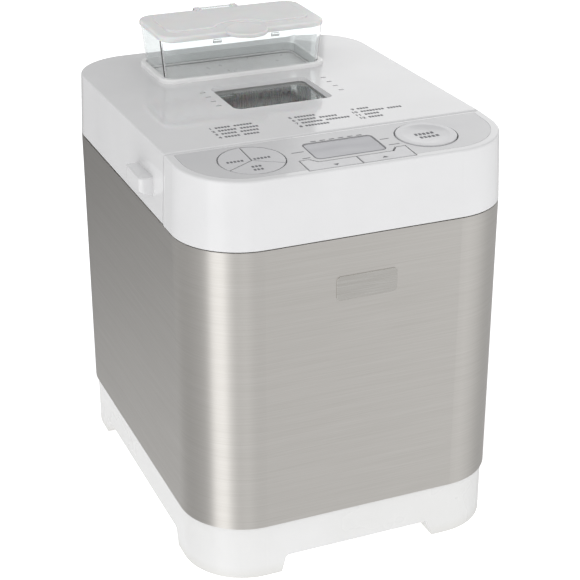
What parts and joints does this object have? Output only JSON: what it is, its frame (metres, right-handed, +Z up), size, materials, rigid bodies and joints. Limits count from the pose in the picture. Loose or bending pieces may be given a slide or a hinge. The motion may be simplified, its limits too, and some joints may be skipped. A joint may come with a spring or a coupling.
{
  "type": "bread machine",
  "caption": "Compact countertop bread machine: brushed steel casing, white hinged lid with window and clear ingredient dispenser, sloping key panel, pan and paddle inside.",
  "frame": {"origin": "middle of the whole object's box on the surface it stands on", "axes": "+Z up, front with the key panel faces -Y, +X to the right seen from the front"},
  "size_m": [0.234, 0.2962, 0.3216],
  "materials": {
    "white_gloss_abs": "gloss moulded",
    "white_base_pp": "satin moulded",
    "brushed_casing": "horizontal brushing, lacquered",
    "zinc_plated_steel": "zinc plated",
    "bright_steel": "bright drawn",
    "chamber_aluminised": "aluminised sheet",
    "aluminium_plate": "satin pressed",
    "cast_aluminium": "die cast",
    "nonstick_pan": "non-stick coat on aluminium",
    "clear_bin": "clear moulded",
    "dispenser_cap": "milky translucent moulded",
    "window_glass": "tempered",
    "display_lens": "clear over grey display",
    "overlay_film": "printed polyester film",
    "key_plastic": "gloss moulded",
    "rubber": "moulded",
    "silicone": "moulded silicone",
    "belt_rubber": "moulded belt",
    "heater_sheath": "oxidised alloy tube",
    "insulator": "ceramic insulator",
    "circuit_board": "solder mask",
    "motor_shell": "painted",
    "motor_iron": "laminated iron",
    "pulley_nylon": "natural nylon",
    "grey_abs": "moulded",
    "badge_metal": "satin"
  },
  "bodies": {
    "casing": {"base_tray": "white_base_pp", "rubber_feet": "rubber", "steel_casing": "brushed_casing", "seam_strip": "zinc_plated_steel", "cord_gland": "grey_abs", "blank_badge": "badge_metal", "chassis_plate": "zinc_plated_steel", "base_screws": "zinc_plated_steel", "case_screws": "zinc_plated_steel", "chamber_liner": "chamber_aluminised", "heat_shield": "aluminium_plate", "heating_element": "heater_sheath", "element_terminals": "insulator", "temperature_sensor": "bright_steel", "pan_socket": "cast_aluminium", "bearing_housing": "cast_aluminium", "drive_belt": "belt_rubber", "motor_can": "motor_shell", "motor_bracket": "zinc_plated_steel", "power_board": "circuit_board", "deck_frame": "white_base_pp", "panel_housing": "white_gloss_abs", "panel_overlay": "overlay_film", "display_lens": "display_lens", "key_mat": "silicone", "control_board": "circuit_board", "hinge_brackets": "grey_abs", "hinge_pins": "bright_steel"},
    "lid": {"lid_cover": "white_gloss_abs", "lid_liner": "aluminium_plate", "liner_screws": "zinc_plated_steel", "lid_seals": "silicone", "window_glass": "window_glass", "window_well": "aluminium_plate", "dispenser_collar": "white_gloss_abs", "dispenser_chute": "aluminium_plate", "dispenser_bin": "clear_bin", "flap_solenoid": "grey_abs"},
    "dispenser_cap": {"dispenser_lid": "dispenser_cap"},
    "drop_flap": {"dispenser_flap": "grey_abs", "flap_crank": "zinc_plated_steel"},
    "plunger": {"solenoid_plunger": "bright_steel"},
    "drive": {"large_pulley": "pulley_nylon", "drive_shaft": "bright_steel", "drive_socket": "cast_aluminium"},
    "rotor": {"small_pulley": "pulley_nylon", "motor_rotor": "motor_iron"},
    "pan": {"bread_pan": "nonstick_pan", "pan_base_ring": "cast_aluminium", "pan_ears": "bright_steel", "pan_bearing": "cast_aluminium"},
    "bail": {"pan_handle": "bright_steel"},
    "mixer_shaft": {"pan_shaft": "bright_steel"},
    "paddle": {"kneading_paddle": "nonstick_pan"},
    "menu_key": {"key_menu": "key_plastic"},
    "colour_key": {"key_colour": "key_plastic"},
    "size_key": {"key_size": "key_plastic"},
    "down_key": {"key_down": "key_plastic"},
    "up_key": {"key_up": "key_plastic"},
    "start_key": {"key_start": "key_plastic"}
  },
  "joints": [
    {"name": "lid_hinge", "type": "hinge", "parent": "casing", "child": "lid", "pos_m": [0.004, 0.14365, 0.246], "axis": [-1, 0, 0], "range_deg": [0, 88]},
    {"name": "dispenser_lid_hinge", "type": "hinge", "parent": "lid", "child": "dispenser_cap", "pos_m": [0.002, 0.11645, 0.3186], "axis": [-1, 0, 0], "range_deg": [0, 100]},
    {"name": "flap_hinge", "type": "hinge", "parent": "lid", "child": "drop_flap", "pos_m": [0.002, 0.10565, 0.2802], "axis": [1, 0, 0], "range_deg": [0, 60], "stiffness_Nm_per_rad": 0.01, "springref_deg": -40.11},
    {"name": "plunger_slide", "type": "slide", "parent": "lid", "child": "plunger", "axis": [0, 1, 0], "range_m": [0, 0.0105]},
    {"name": "drive_spin", "type": "hinge", "parent": "casing", "child": "drive", "pos_m": [0.004, 0.03045, 0.05], "axis": [0, 0, 1], "continuous": true},
    {"name": "motor_spin", "type": "hinge", "parent": "casing", "child": "rotor", "pos_m": [0.004, -0.10655, 0.05], "axis": [0, 0, 1], "continuous": true},
    {"name": "pan_twist", "type": "hinge", "parent": "casing", "child": "pan", "pos_m": [0.004, 0.03045, 0.095], "axis": [0, 0, 1], "range_deg": [0, 12]},
    {"name": "bail_swing", "type": "hinge", "parent": "pan", "child": "bail", "pos_m": [0.004, 0.03045, 0.238], "axis": [-1, 0, 0], "range_deg": [0, 14]},
    {"name": "pan_shaft_spin", "type": "hinge", "parent": "pan", "child": "mixer_shaft", "pos_m": [0.004, 0.03045, 0.095], "axis": [0, 0, 1], "continuous": true},
    {"name": "paddle_lift", "type": "slide", "parent": "mixer_shaft", "child": "paddle", "axis": [0, 0, 1], "range_m": [0, 0.045]},
    {"name": "menu_press", "type": "slide", "parent": "casing", "child": "menu_key", "axis": [0, 0.0412, -0.9992], "range_m": [0, 0.0006], "stiffness_N_per_m": 400, "springref_m": -0.001},
    {"name": "colour_press", "type": "slide", "parent": "casing", "child": "colour_key", "axis": [0, 0.0412, -0.9992], "range_m": [0, 0.0006], "stiffness_N_per_m": 400, "springref_m": -0.001},
    {"name": "size_press", "type": "slide", "parent": "casing", "child": "size_key", "axis": [0, 0.0412, -0.9992], "range_m": [0, 0.0006], "stiffness_N_per_m": 400, "springref_m": -0.001},
    {"name": "down_press", "type": "slide", "parent": "casing", "child": "down_key", "axis": [0, 0.0412, -0.9992], "range_m": [0, 0.0006], "stiffness_N_per_m": 400, "springref_m": -0.001},
    {"name": "up_press", "type": "slide", "parent": "casing", "child": "up_key", "axis": [0, 0.0412, -0.9992], "range_m": [0, 0.0006], "stiffness_N_per_m": 400, "springref_m": -0.001},
    {"name": "start_press", "type": "slide", "parent": "casing", "child": "start_key", "axis": [0, 0.0412, -0.9992], "range_m": [0, 0.0006], "stiffness_N_per_m": 400, "springref_m": -0.001}
  ],
  "couplings": [
    {"joint": "motor_spin", "follows": "drive_spin", "ratio": 5.8515},
    {"joint": "pan_shaft_spin", "follows": "drive_spin", "ratio": 1},
    {"joint": "plunger_slide", "follows": "flap_hinge", "m_per_rad": 0.0095493}
  ]
}
